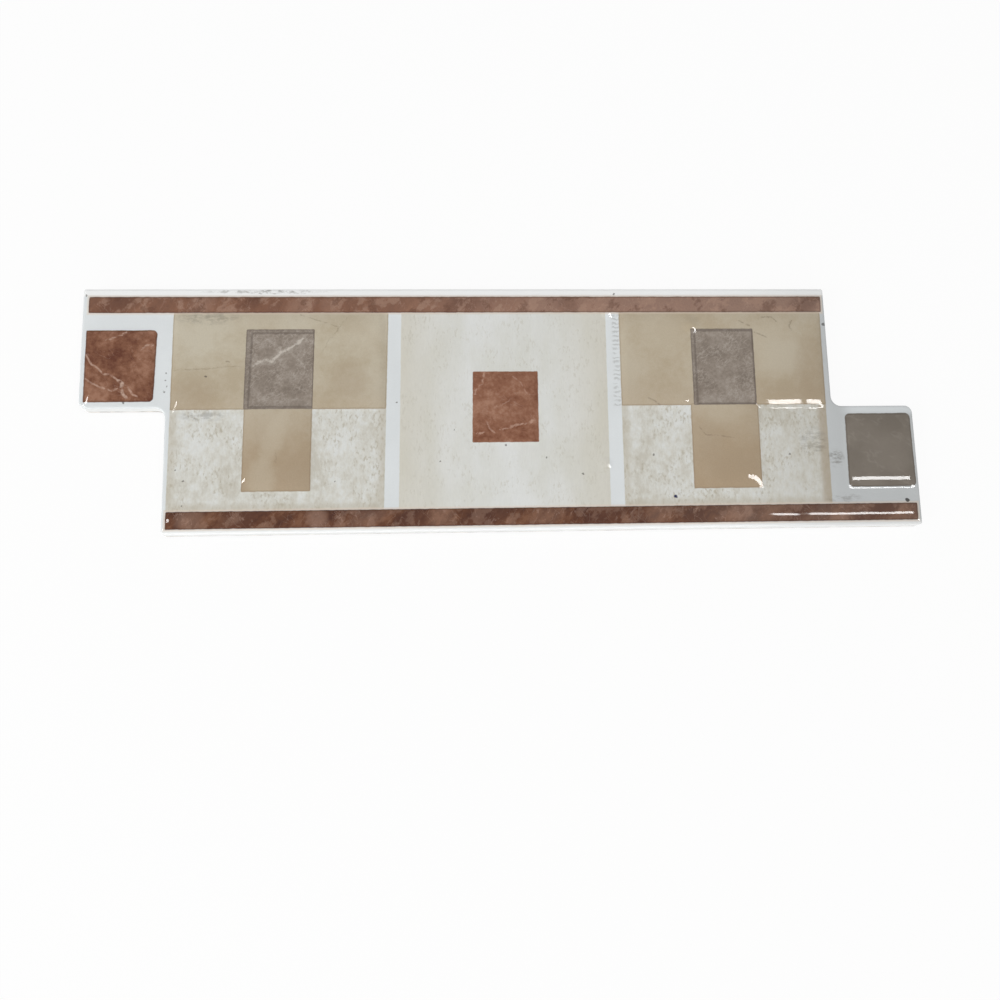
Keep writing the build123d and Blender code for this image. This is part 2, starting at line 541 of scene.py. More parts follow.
# Painted sheen that makes the strips paler towards the right
STRIP_UPPER_RIGHT_SHEEN_TONE = (171, 143, 128)
STRIP_RIGHT_SHEEN_TONE = (144, 119, 104)
STRIP_FLAKE_TONE = (174, 140, 120)
STRIP_CLOUD_TONE = (90, 52, 33)
STRIP_THREAD_TONE = (188, 156, 138)
STRIP_OUTLINE_TONE = (226, 208, 190)
STRIP_LINE_TONE = (70, 40, 28)
GRIME_TONE = (104, 96, 84)
RIB_TONE = (164, 164, 161)
PORE_TONE = (160, 143, 122)
GLAZE_RUN_TONE = (232, 234, 233)
FOOT_SHADE_TONE = (112, 109, 104)
# Painted shade at the foot of the sides, where the tile meets the floor
FLOOR_TONE = (244, 244, 243)
WHITE = (255, 255, 255)


class Nodes:
    """A short way to write the nodes of a material or a world."""

    def __init__(self, owner):
        owner.use_nodes = True
        self.nodes = owner.node_tree.nodes
        self.links = owner.node_tree.links
        self.nodes.clear()

    def node(self, kind, inputs=None, **settings):
        made = self.nodes.new("ShaderNode" + kind)
        for name, value in settings.items():
            setattr(made, name, value)
        for name, value in (inputs or {}).items():
            if isinstance(value, bpy.types.NodeSocket):
                self.links.new(value, made.inputs[name])
            else:
                made.inputs[name].default_value = value
        return made

    def math(self, operation, *values):
        return self.node("Math", dict(enumerate(values)), operation=operation).outputs[0]

    def both(self, one, other):
        return self.math("MULTIPLY", one, other)

    def background_rays(self):
        """1 for rays that show the background: from the camera, off gloss or through glass."""
        rays = self.node("LightPath").outputs
        seen = rays["Is Camera Ray"]
        for kind in ("Is Glossy Ray", "Is Transmission Ray"):
            seen = self.math("MAXIMUM", seen, rays[kind])
        return seen


class Graph(Nodes):
    """A material's nodes. Places are millimetres in the part's frame."""

    def __init__(self, name, shift=0.0):
        self.material = bpy.data.materials.new(name)
        super().__init__(self.material)
        metres = self.node("TexCoord").outputs["Object"]
        inputs = {0: metres, 1: (1 / MM, 1 / MM, 1 / MM), 2: (0.0, -shift, 0.0)}
        self.where = self.vector("MULTIPLY_ADD", inputs)
        self.x, self.y, self.z = self.node("SeparateXYZ", {0: self.where}).outputs

    def least(self, one, other):
        return self.math("MINIMUM", one, other)

    def less(self, one, other):
        return self.math("SUBTRACT", one, other)

    def linear(self, value, factor, base):
        return self.math("MULTIPLY_ADD", value, factor, base)

    def vector(self, operation, inputs):
        return self.node("VectorMath", inputs, operation=operation).outputs["Vector"]

    def measure(self, operation, inputs):
        return self.node("VectorMath", inputs, operation=operation).outputs["Value"]

    def fade(self, value, start, stop):
        """0 up to the start, 1 from the stop, and smooth between them."""
        inputs = {"Value": value, "From Min": start, "From Max": stop}
        made = self.node("MapRange", inputs, interpolation_type="SMOOTHSTEP", clamp=False)
        return made.outputs["Result"]

    def noise(self, size, detail=2.0, roughness=0.5, stretch=1.0, turn=0.0, seed=0):
        """Clouds of a size, drawn out along a direction. Each seed has its own clouds."""
        inputs = {
            "Vector": self.where,
            "Location": tuple(seed * step for step in SEED_STEP),
            "Rotation": (0, 0, turn),
            "Scale": (size * stretch, size, size),
        }
        place = self.node("Mapping", inputs, vector_type="TEXTURE").outputs[0]
        inputs = {"Vector": place, "Scale": 1.0, "Detail": detail, "Roughness": roughness}
        return self.node("TexNoise", inputs).outputs[0]

    def ramp(self, value, places, tones):
        """A colour that follows a value from tone to tone, each at its own place."""
        made = self.node("ValToRGB", {"Fac": value})
        elements = made.color_ramp.elements
        while len(elements) < len(tones):
            elements.new(1.0)
        for element, place, tone in zip(elements, places, tones):
            element.position = place
            element.color = light(tone)
        return made.outputs["Color"]

    def mix(self, share, under, over):
        """A colour or tone laid over a colour: none of it at a share of 0, all of it at 1."""
        inputs = {0: share, 6: under, 7: light(over) if isinstance(over, tuple) else over}
        return self.node("Mix", inputs, data_type="RGBA").outputs[2]

    def tint(self, under, over, mask, strength):
        """A tone laid over a colour where a mask says, as strongly as a strength says."""
        return self.mix(self.both(mask, strength), under, over)

    def shade(self, colour, amount):
        """A colour made darker or lighter by an amount."""
        return self.node("HueSaturation", {"Color": colour, "Value": amount}).outputs[0]

    def finish(self, inputs):
        """The finished material, of one shader with these inputs."""
        shader = self.node("BsdfPrincipled", inputs)
        self.node("OutputMaterial", {"Surface": shader.outputs[0]})
        return self.material


@dataclass
class Block:
    """Sides of a printed block at y = 0, the lean of its upright sides, and its corners' radius."""
    left: float
    right: float
    bottom: float
    top: float
    lean_left: float = 0.012
    lean_right: float = 0.012
    corner: float = 0.5


# The print, which is laid on the relief a little askew
FIELD_BOTTOM, FIELD_TOP = -44.5, 44.4
LEFT_FIELD = Block(-145.8, -52.2, FIELD_BOTTOM, FIELD_TOP, 0.009, 0.025)
MIDDLE_FIELD = Block(-46.1, 46.1, FIELD_BOTTOM, FIELD_TOP, 0.017, 0.010)
RIGHT_FIELD = Block(52.3, 145.1, FIELD_BOTTOM, FIELD_TOP, 0.007, 0.008)
LEFT_FRAME = replace(LEFT_FIELD, bottom=0.15)
RIGHT_FRAME = replace(RIGHT_FIELD, bottom=0.8)
LEFT_LEG = Block(-114.0, -84.4, -36.3, 1.0, 0.015, 0.015)
RIGHT_LEG = Block(83.4, 114.0, -37.0, 1.6, 0.010, 0.010)
LEFT_GREY = Block(-114.2, -84.3, 0.2, 36.5, 0.023, 0.022)
RIGHT_GREY = Block(84.8, 113.4, 0.85, 36.35, 0.004, 0.004)
LEFT_SUNK = Block(-112.2, -84.2, 1.2, 34.7, 0.039, 0.022)
RIGHT_SUNK = Block(86.6, 113.0, 1.4, 35.4, 0.004, 0.004)
RED_CENTRE = Block(-14.2, 15.0, -15.4, 16.9, 0.021, 0.008)
UPPER_STRIP = Block(-182.8, 145.7, 44.4, 51.85)
LOWER_STRIP = Block(-145.6, 183.7, -52.25, -44.6)
RED_PATCH = Block(-183.0, -153.1, 3.9, 36.5, 0.004, 0.028)
RED_PATCH_ROUND = replace(RED_PATCH, left=-190.0, corner=2.2)
GREY_PATCH = Block(153.4, 183.3, -37.1, -3.5, 0.014, -0.011, 2.2)

# Pale veins, dark cracks and hairs, as lists of places along each
RED_PATCH_VEINS = (
    ((-182.5, 25.5), (-180, 21), (-177.5, 19.5), (-174.5, 16.5), (-172, 16.5), (-168, 13.5)),
    ((-182.5, 14.5), (-179.5, 12.5), (-176.5, 11), (-171, 9), (-168.5, 10)),
    ((-164, 10.5), (-161.5, 7), (-160, 6.5)),
    ((-174, 32), (-170.5, 33), (-167, 34.5), (-165.5, 35.5)),
    ((-159, 28), (-154, 30)),
)
RED_PATCH_KNOT = (((-168, 13.5), (-166.5, 12.5), (-167, 10), (-166, 7.5), (-164.5, 6)),)
RED_CENTRE_VEINS = (
    ((-8.5, 16.5), (-10, 11.5), (-12.5, 8.5), (-13.5, 6.5)),
    ((-2, -10), (5.5, -7.5), (11, -6.5), (13, -5.5)),
    ((-8, -6), (-7, -9), (-5, -11)),
    ((-12.5, -11.5), (-9, -11)),
)
RED_CENTRE_WISPS = (
    ((4, 14.5), (7.5, 11.5), (10, 6.5)),
    ((-4.5, 0), (-0.5, 2), (4, 4.5)),
)
GREY_VEINS = (
    ((-110, 20), (-108, 21.5), (-104.5, 22.5), (-102.5, 22), (-100, 24), (-98.5, 26)),
    ((-98.5, 26), (-95.5, 27), (-93, 29), (-88.5, 32)),
)
GREY_WISPS = (
    ((-104, 31.5), (-101.5, 30), (-98.5, 28), (-97, 27)),
    ((-95.5, 27), (-91.5, 23.5), (-88, 19.5)),
)
CRACKS = (
    ((-144.5, 18), (-129.5, 18.5), (-122.5, 19.5), (-115.5, 19.5)),
    ((-90, 43.5), (-83.5, 41), (-77, 39), (-73, 37.5)),
    ((-69.5, 42), (-72.5, 37.5), (-76.5, 32.5), (-80, 26.5)),
    ((-100, -18.5), (-99.5, -22), (-100, -23.5)),
    ((86.5, -9), (89.5, -13), (95, -13), (102, -14.5)),
)
HAIRS = (
    ((-122, 22), (-120.5, 21.5)),
    ((64.5, 4), (67, 3), (69.5, 1)),
    ((116.5, 41), (120, 42), (122.5, 42), (125, 39.5)),
    ((132, 40), (130.5, 38), (131.5, 35.5)),
    ((107.5, 40), (112, 38)),
    ((114.5, 34.5), (119.5, 32.5)),
)

# Lines on the stones as (routes, width, strength, tone)
RED_CENTRE_LINES = (
    (RED_CENTRE_VEINS, 0.6, 0.75, (196, 158, 138)),
    (RED_CENTRE_WISPS, 0.5, 0.4, (196, 158, 138)),
)
RED_PATCH_LINES = (
    (RED_PATCH_VEINS, 0.6, 0.75, (196, 162, 143)),
    (RED_PATCH_KNOT, 1.0, 0.9, (204, 174, 156)),
)
FIELD_LINES = (
    (GREY_VEINS, 2.6, 0.3, (196, 187, 176)),
    (GREY_VEINS, 0.9, 0.8, (206, 197, 186)),
    (GREY_WISPS, 0.9, 0.25, (206, 197, 186)),
    (CRACKS, 0.4, 0.32, (120, 102, 82)),
    (HAIRS, 0.55, 0.42, (104, 88, 72)),
)

# Specks as (x, y, radius), and each kind's strength and tone
SPECKS = (
    (-142.5, -26.5, 0.3), (-139, -31.5, 0.45), (-139.5, -42, 0.3), (-74.5, -32, 0.3),
    (-148, 17, 0.25), (-147.5, 11, 0.3), (-148, 13.5, 0.25), (-148.5, 8.5, 0.35),
    (-47.5, 3, 0.35), (65.5, -21.5, 0.45), (127, -22, 0.4), (-130.5, 15, 0.4),
    (146.9, 38.5, 0.7), (-183.5, 52.5, 0.4), (51, 53, 0.5), (-29, -23.5, 0.35),
    (0, -16.5, 0.4), (18, -22.5, 0.35), (34, -30, 0.35), (-22.5, -9.5, 0.3), (-165.5, 3.5, 0.5),
)
BLACK_SPECKS = ((179, -43.5, 0.8),)
INK_SPECKS = ((74.5, -40.5, 0.7),)
ALL_SPECKS = (
    (SPECKS, 0.7, (70, 62, 55)),
    (BLACK_SPECKS, 0.9, (44, 39, 36)),
    (INK_SPECKS, 1.0, (38, 40, 78)),
)

# Darker and lighter clouds of the beige stone as (x, y, half length, half width, turn), and each
# kind's strength and tone
BEIGE_SHADE = (
    (-138, 6, 16, 11, 0.0), (-90, -29, 11, 14, 0.3), (-68, 14, 10, 11, 0.0),
    (88, -16, 12, 14, 0.0), (140, 16, 10, 22, 0.0), (102, -28, 14, 11, 0.0),
)
BEIGE_LIGHT = (
    (-101, -13, 6, 16, -0.35), (-106, -31, 8, 12, 0.0), (-100, 41, 34, 7, 0.0), (-60, 35, 14, 13, 0.0),
    (98, 1, 15, 12, 0.0), (122, 27, 14, 18, 0.0), (72, 35, 13, 15, 0.0),
)
BEIGE_CLOUDS = (
    (BEIGE_SHADE, 0.35, (170, 150, 124)),
    (BEIGE_LIGHT, 0.4, (202, 191, 170)),
)

# Paler and darker patches of the strips as (x, y, half length, strength), with their tones, and the
# half width and turn that all of them have
STRIP_PALE = (
    (-133, 48, 8, 0.35), (-90, 48, 9, 0.4), (-77, 48, 6, 0.3), (15, 48, 11, 0.35),
    (45, 48, 10, 0.25), (-136, -48, 8, 0.45), (-82, -48, 6, 0.5), (-60, -48, 13, 0.25),
    (-29, -48, 8, 0.3), (18, -48, 11, 0.2), (66, -48, 8, 0.25), (103, -48, 8, 0.45),
)
STRIP_DARK = (
    (-170, 48, 14, 0.45), (-112, 48, 10, 0.3), (-18, 48, 10, 0.4), (30, 48, 6, 0.3),
    (138, 48, 10, 0.35), (-116, -48, 12, 0.7), (-40, -48, 9, 0.6), (-8, -48, 17, 0.7),
    (44, -48, 13, 0.6), (128, -48, 14, 0.6), (165, -48, 18, 0.6),
)
STRIP_BLOTS = ((STRIP_PALE, (166, 132, 113)), (STRIP_DARK, (84, 46, 29)))
STRIP_BLOT_HALF = 6
STRIP_BLOT_TURN = math.radians(25)

# Grime and scuffs as (x, y, half length, half width, strength)
GRIME = (
    (-130, 42, 17, 4, 0.38), (-131, -2.5, 13, 3, 0.4), (138, -16, 8, 8, 0.4),
    (148, -24, 4.5, 5, 0.6), (150, -42, 10, 2.5, 0.35), (-105, 54.2, 32, 1.0, 0.6),
)

# Grey ribs across the right white stripe: where they are, their pitch and how far they wander
RIBS = Block(49.0, 52.0, 0.5, 43.5)
RIB_PITCH = 2.0
RIB_WANDER = 8.0

# A beige band down the right side of the right field
RIGHT_BAND = Block(141.3, 148.0, -44.0, 1.0, corner=1.2)

# Small beads of the glaze as (x, y, radius, height)
BEADS = (
    (44.5, -25.3, 3.7, 0.25), (47.6, 44.3, 3.7, 0.53), (80.5, 3.3, 3.3, 0.13), (85.4, 38.5, 4.9, 0.63),
)

# Unevenness, gloss, least roughness and its spread of the glaze, and the clay's grit in metres
PEEL = 0.006
GLAZE_GLOSS = 0.3
GLAZE_ROUGHNESS = 0.012
GLAZE_WEAR = 0.03
GRIT_METRES = 0.0002

# The lowest end of the glaze's run down the sides and how much it varies, the heights between which
# the painted shade at the foot fades, and the roughness and the share of grit of the clay and of the
# run
RUN_LOWEST = -0.4
RUN_SPREAD = 3.0
FOOT_SHADE_FADE = (2.2, 0.8)
CLAY_ROUGHNESS, RUN_ROUGHNESS = 0.85, 0.13
CLAY_GRIT, RUN_GRIT = 0.6, 0.1

# How far the print's edges and its drawn lines waver, the shares of a rim's and a line's width that
# have their full strength, and how far outside and inside its radius a dot's soft edge lies
SWAY = 0.36
TREMBLE = 1.8
RIM_CORE = 0.3
LINE_CORE = 0.25
DOT_SOFTNESS = (0.25, -0.1)


class Print(Graph):
    """The face's material while it is built up, layer over layer."""

    def __init__(self, name):
        super().__init__(name, PATTERN_SHIFT)
        shift = self.linear(self.noise(2.5, seed=1), SWAY, -SWAY / 2)
        self.print_x = self.math("ADD", self.x, shift)
        self.print_y = self.less(self.y, shift)
        tremble = self.linear(self.noise(1.6, detail=3, seed=2), TREMBLE, -TREMBLE / 2)
        inputs = {0: self.math("ADD", self.x, tremble), 1: self.less(self.y, tremble), 2: 0.0}
        self.drawn = self.node("CombineXYZ", inputs).outputs[0]
        self.flat = self.vector("MULTIPLY", {0: self.where, 1: (1.0, 1.0, 0.0)})

    def inside(self, block):
        """Depths of a place inside a block's nearest upright side and its nearest level side."""
        left = self.linear(self.print_y, -block.lean_left, -block.left)
        right = self.linear(self.print_y, block.lean_right, block.right)
        along = self.least(self.math("ADD", self.print_x, left), self.less(right, self.print_x))
        across = self.least(self.less(self.print_y, block.bottom), self.less(block.top, self.print_y))
        return along, across

    def cover(self, block, soft=0.2):
        """1 on a block, 0 off it, with soft edges and rounded corners."""
        depths = self.inside(block)
        gaps = [self.math("MAXIMUM", self.less(block.corner, depth), 0.0) for depth in depths]
        span = self.node("CombineXYZ", {0: gaps[0], 1: gaps[1]}).outputs[0]
        reach = self.measure("LENGTH", {0: span})
        return self.fade(reach, block.corner + soft, block.corner - soft)

    def rim(self, block, width):
        """1 along a block's sides, fading out at a width to either side of them."""
        along, across = self.inside(block)
        return self.fade(self.math("ABSOLUTE", self.least(along, across)), width, width * RIM_CORE)

    def lay(self, colour, block, stone, line, width, strength):
        """A block of stone laid over a colour, with a line of another tone along its sides."""
        lined = self.tint(stone, line, self.rim(block, width), strength)
        return self.mix(self.cover(block), colour, lined)

    def lines(self, routes, width):
        """1 along each route, 0 away from it."""
        gap = None
        for route in routes:
            for (ax, ay), (bx, by) in zip(route, route[1:]):
                step = (bx - ax, by - ay, 0.0)
                square = step[0] ** 2 + step[1] ** 2
                past = self.vector("SUBTRACT", {0: self.drawn, 1: (ax, ay, 0.0)})
                scaled = tuple(part / square for part in step)
                dot = self.measure("DOT_PRODUCT", {0: past, 1: scaled})
                share = self.node("Clamp", {"Value": dot}).outputs[0]
                reach = self.vector("SCALE", {0: step, "Scale": share})
                near = self.measure("DISTANCE", {0: past, 1: reach})
                gap = near if gap is None else self.least(gap, near)
        return self.fade(gap, width, width * LINE_CORE)

    def draw(self, colour, lines):
        """A colour with lines on it that come and go along their routes."""
        for routes, width, strength, tone in lines:
            presence = self.fade(self.noise(1.8, detail=3, seed=27), 0.3, 0.62)
            drawn = self.both(self.lines(routes, width), presence)
            colour = self.tint(colour, tone, drawn, strength)
        return colour

    def dots(self, places):
        """1 on each dot, 0 away from it."""
        gap = None
        for x, y, radius in places:
            near = self.measure("DISTANCE", {0: self.drawn, 1: (x, y, 0.0)})
            near = self.less(near, radius)
            gap = near if gap is None else self.least(gap, near)
        return self.fade(gap, *DOT_SOFTNESS)

    def blot(self, x, y, half_x, half_y, turn=0.0):
        """A soft oval, 1 in its middle and 0 at its rim."""
        past = self.vector("SUBTRACT", {0: self.drawn, 1: (x, y, 0.0)})
        cosine, sine = math.cos(turn), math.sin(turn)
        along = self.measure("DOT_PRODUCT", {0: past, 1: (cosine / half_x, sine / half_x, 0.0)})
        across = self.measure("DOT_PRODUCT", {0: past, 1: (-sine / half_y, cosine / half_y, 0.0)})
        square = self.math("MULTIPLY_ADD", along, along, self.both(across, across))
        return self.fade(square, 1.0, 0.0)

    def mottle(self, wide, fine, share, seed, stretch=1.0, turn=0.0):
        """Wide clouds and a share of fine ones."""
        slow = self.noise(wide, detail=3, stretch=stretch, turn=turn, seed=seed)
        quick = self.noise(fine, detail=4, roughness=0.65, stretch=stretch, turn=turn, seed=seed + 60)
        return self.linear(quick, share, self.both(slow, 1 - share))

    def wisps(self, size, width, seed, turn=0.0, stretch=1.0):
        """Thin threads where slow clouds cross their middle value, in patches."""
        cloud = self.noise(size, detail=3, roughness=0.45, stretch=stretch, turn=turn, seed=seed)
        off = self.math("ABSOLUTE", self.less(cloud, 0.5))
        patch = self.fade(self.noise(7, seed=seed + 50), 0.42, 0.6)
        return self.both(self.fade(off, width, 0.0), patch)

    def grain(self, colour, size, strength, seed, stretch=1.0):
        """A colour made slightly uneven by fine clouds, drawn out upright."""
        cloud = self.noise(size, detail=3, roughness=0.6, stretch=stretch, turn=UPRIGHT, seed=seed)
        return self.shade(colour, self.linear(cloud, strength, 1 - strength / 2))


def white_ground(p):
    """Bluish white under-glaze, made whiter along the long sides by a painted sheen.

    Painted shade greys its right end, but not along the upper edge of the right tab.
    """
    white = p.ramp(p.noise(30, detail=3, seed=3), (0.35, 0.65), WHITE_TONES)
    # Painted shade: the right end is greyed, except along the upper edge of the right tab
    tab_edge = p.both(p.fade(p.x, 150, 158), p.fade(p.y, -5, -2.5))
    right_end_shade = p.both(p.fade(p.x, 112, 156), p.linear(tab_edge, -0.45, 0.45))
    white = p.mix(right_end_shade, white, RIGHT_END_SHADE_TONE)
    # Painted sheen: the margins along the long sides are made whiter, most along the upper side
    margin_sheen = p.fade(p.math("ABSOLUTE", p.y), 51.6, 53.0)
    sheen_strength = p.linear(p.fade(p.y, -10, 10), 0.3, 0.7)
    white = p.tint(white, MARGIN_SHEEN_TONE, margin_sheen, sheen_strength)
    return p.grain(white, size=0.6, strength=0.07, seed=4)


def travertine(p):
    """Pale stone, softly mottled, with upright flecks that come in clusters, and painted shade that
    darkens it towards the right end.
    """
    value = p.mottle(wide=13, fine=2.4, share=0.5, seed=5, stretch=1.4, turn=UPRIGHT)
    base = p.ramp(value, (0.38, 0.5, 0.6), TRAVERTINE_TONES)
    fleck = p.noise(1.1, detail=4, roughness=0.6, stretch=1.8, turn=UPRIGHT, seed=6)
    cluster = p.fade(p.noise(11, detail=3, seed=7), 0.38, 0.6)
    share = p.both(p.fade(fleck, 0.5, 0.68), cluster)
    base = p.tint(base, TRAVERTINE_FLECK_TONE, share, 0.7)
    # Painted shade: a beige-grey tint darkens the stone towards the right end
    base = p.tint(base, FIELD_EDGE_TONE, p.fade(p.x, 95, 135), 0.18)
    return p.grain(base, size=0.8, strength=0.18, seed=8, stretch=2.6)


def pale_field(p):
    """Quiet pale stone with soft upright bands and short flecks, more beige to its left and right."""
    band = p.noise(14, detail=4, stretch=2.5, turn=UPRIGHT, seed=9)
    base = p.ramp(band, (0.38, 0.6), PALE_TONES)
    side = p.fade(p.math("ABSOLUTE", p.x), 16, 48)
    base = p.tint(base, PALE_SIDE_TONE, side, 0.6)
    fleck = p.noise(0.9, detail=3, stretch=2.2, turn=UPRIGHT, seed=10)
    cluster = p.fade(p.noise(9, detail=2, seed=28), 0.4, 0.62)
    share = p.both(p.fade(fleck, 0.52, 0.7), cluster)
    base = p.tint(base, PALE_FLECK_TONE, share, 0.35)
    return p.grain(base, size=0.8, strength=0.12, seed=11, stretch=2.6)


def beige_stone(p):
    """Smooth beige stone with slow clouds, warmer lower down."""
    cloud = p.mottle(wide=26, fine=3, share=0.3, seed=12)
    base = p.ramp(cloud, (0.4, 0.5, 0.6), BEIGE_TONES)
    base = p.tint(base, BEIGE_LOW_TONE, p.fade(p.y, 30, -34), 0.66)
    base = p.tint(base, BEIGE_RIGHT_TONE, p.fade(p.x, -30, 60), 0.2)
    for blots, strength, tone in BEIGE_CLOUDS:
        for blot in blots:
            base = p.tint(base, tone, p.blot(*blot), strength)
    return p.grain(base, size=0.6, strength=0.2, seed=13)


def grey_stone(p):
    """Brownish grey stone with slow clouds, a fine grain and faint threads."""
    value = p.mottle(wide=10, fine=1.4, share=0.4, seed=14)
    base = p.ramp(value, (0.38, 0.5, 0.62), GREY_TONES)
    base = p.grain(base, size=0.6, strength=0.24, seed=29)
    for size, width, seed in ((3, 0.03, 15), (1.6, 0.06, 38)):
        threads = p.wisps(size, width, seed, turn=0.6, stretch=1.6)
        base = p.tint(base, GREY_THREAD_TONE, threads, 0.36)
    return base


def plain_grey(p):
    """Plain warm grey of the right patch, paler in its middle."""
    base = p.ramp(p.noise(14, detail=3, seed=16), (0.35, 0.65), PLAIN_GREY_TONES)
    base = p.tint(base, PLAIN_GREY_MIDDLE_TONE, p.blot(170, -22, 15, 12), 0.5)
    threads = p.wisps(6, 0.04, seed=39, turn=-0.5, stretch=2.0)
    base = p.tint(base, PLAIN_GREY_THREAD_TONE, threads, 0.2)
    return p.grain(base, size=0.7, strength=0.08, seed=17)


def red_stone(p, seed, tones):
    """Red-brown marble of three tones, in clouds with a rough grain and faint threads."""
    cloud = p.mottle(wide=12, fine=2.2, share=0.45, seed=seed)
    base = p.ramp(cloud, (0.37, 0.5, 0.63), tones)
    base = p.grain(base, size=0.7, strength=0.3, seed=seed + 1)
    threads = p.wisps(4, 0.012, seed + 2, turn=math.radians(-35), stretch=3.0)
    return p.tint(base, RED_THREAD_TONE, threads, 0.3)


def strip_stone(p):
    """Dark red-brown marble of the strips, in slanting patches with pale threads, and a painted sheen
    that makes them paler towards the right.
    """
    slant = math.radians(45)
    value = p.mottle(wide=9, fine=2.0, share=0.4, seed=21, stretch=1.6, turn=slant)
    base = p.ramp(value, (0.4, 0.5, 0.6), STRIP_TONES)
    upper = p.fade(p.y, -10, 10)
    base = p.tint(base, STRIP_UPPER_TONE, upper, 0.5)
    # Painted sheen: the strips grow paler towards the right, the upper strip from its middle on
    base = p.tint(base, STRIP_UPPER_RIGHT_SHEEN_TONE, p.both(upper, p.fade(p.x, -90, 80)), 0.5)
    base = p.tint(base, STRIP_RIGHT_SHEEN_TONE, p.fade(p.x, 50, 130), 0.4)
    for blots, tone in STRIP_BLOTS:
        for x, y, half, strength in blots:
            blot = p.blot(x, y, half, STRIP_BLOT_HALF, STRIP_BLOT_TURN)
            base = p.tint(base, tone, blot, strength)
    pale = p.fade(p.noise(7, detail=5, roughness=0.6, stretch=1.3, turn=slant, seed=37), 0.52, 0.6)
    strength = p.linear(upper, 0.2, 0.25)
    base = p.tint(base, STRIP_FLAKE_TONE, pale, strength)
    dark = p.fade(p.noise(6, detail=4, roughness=0.6, stretch=1.3, turn=slant, seed=42), 0.53, 0.62)
    strength = p.linear(upper, 0.15, 0.3)
    base = p.tint(base, STRIP_CLOUD_TONE, dark, strength)
    base = p.grain(base, size=0.7, strength=0.3, seed=22)
    for seed, turn in ((23, 65), (36, -50)):
        threads = p.wisps(3, 0.014, seed, turn=math.radians(turn), stretch=3.5)
        base = p.tint(base, STRIP_THREAD_TONE, threads, 0.28)
    return base


def add_fields(p, colour):
    """The three panels: pale fields with beige sides, and beige frames and legs with brown sides."""
    stone = travertine(p)
    for field in (LEFT_FIELD, RIGHT_FIELD):
        colour = p.lay(colour, field, stone, FIELD_EDGE_TONE, width=4.5, strength=0.4)
    band = p.both(p.cover(RIGHT_BAND, 1.2), p.cover(RIGHT_FIELD))
    colour = p.tint(colour, RIGHT_BAND_TONE, band, 0.5)
    colour = p.mix(p.cover(MIDDLE_FIELD), colour, pale_field(p))
    stone = beige_stone(p)
    for block in (LEFT_FRAME, RIGHT_FRAME, LEFT_LEG, RIGHT_LEG):
        colour = p.lay(colour, block, stone, BEIGE_LINE_TONE, width=0.8, strength=0.35)
    return colour


def add_grey_blocks(p, colour):
    """The grey blocks, each with the dark line of its sunk middle."""
    stone = grey_stone(p)
    for block, sunk in ((LEFT_GREY, LEFT_SUNK), (RIGHT_GREY, RIGHT_SUNK)):
        ledge = p.shade(stone, p.linear(p.cover(sunk, 0.4), 0.06, 0.94))
        ledge = p.tint(ledge, GREY_LINE_TONE, p.rim(sunk, 0.7), 0.45)
        colour = p.lay(colour, block, ledge, GREY_LINE_TONE, width=0.7, strength=0.4)
    return colour


def add_red_blocks(p, colour):
    """The red centre, the red patch and the grey patch, with the veins of the red ones."""
    stone = red_stone(p, 18, RED_CENTRE_TONES)
    stone = p.draw(stone, RED_CENTRE_LINES)
    colour = p.mix(p.cover(RED_CENTRE), colour, stone)
    stone = red_stone(p, 34, RED_PATCH_TONES)
    stone = p.tint(stone, RED_PATCH_LINE_TONE, p.rim(RED_PATCH, 1.0), 0.5)
    stone = p.draw(stone, RED_PATCH_LINES)
    share = p.both(p.cover(RED_PATCH), p.cover(RED_PATCH_ROUND))
    colour = p.mix(share, colour, stone)
    stone = plain_grey(p)
    return p.lay(colour, GREY_PATCH, stone, PLAIN_GREY_LINE_TONE, width=1.0, strength=0.4)


def add_strips(p, colour):
    """The two long strips, with dark sides inside thin warm outlines."""
    stone = strip_stone(p)
    for block in (UPPER_STRIP, LOWER_STRIP):
        colour = p.tint(colour, STRIP_OUTLINE_TONE, p.rim(block, 1.2), 0.55)
        colour = p.lay(colour, block, stone, STRIP_LINE_TONE, width=0.8, strength=0.5)
    return colour


def add_marks(p, colour):
    """Veins of the grey block, cracks, hairs, specks, a spot of ink, grime and scuffs, then painted
    shade that darkens the right end.
    """
    colour = p.draw(colour, FIELD_LINES)
    for places, strength, tone in ALL_SPECKS:
        colour = p.tint(colour, tone, p.dots(places), strength)
    dirt = p.fade(p.noise(1.8, detail=5, roughness=0.7, stretch=2.2, seed=24), 0.4, 0.62)
    for *blot, strength in GRIME:
        colour = p.tint(colour, GRIME_TONE, p.both(p.blot(*blot), dirt), strength)
    colour = add_ribs(p, colour)
    # Painted shade: everything is made darker towards the right end
    return p.shade(colour, p.linear(p.fade(p.x, 90, 150), -0.1, 1.0))


def add_ribs(p, colour):
    """Grey scuffs across the right white stripe, as short ribs."""
    wander = p.noise(2.0, detail=2, seed=25)
    phase = p.linear(p.y, 2 * math.pi / RIB_PITCH, p.both(wander, RIB_WANDER))
    rib = p.fade(p.math("SINE", phase), -0.1, 0.9)
    patchy = p.fade(p.noise(5, seed=26), 0.3, 0.5)
    share = p.both(p.both(rib, patchy), p.cover(RIBS, 0.8))
    return p.tint(colour, RIB_TONE, share, 0.5)


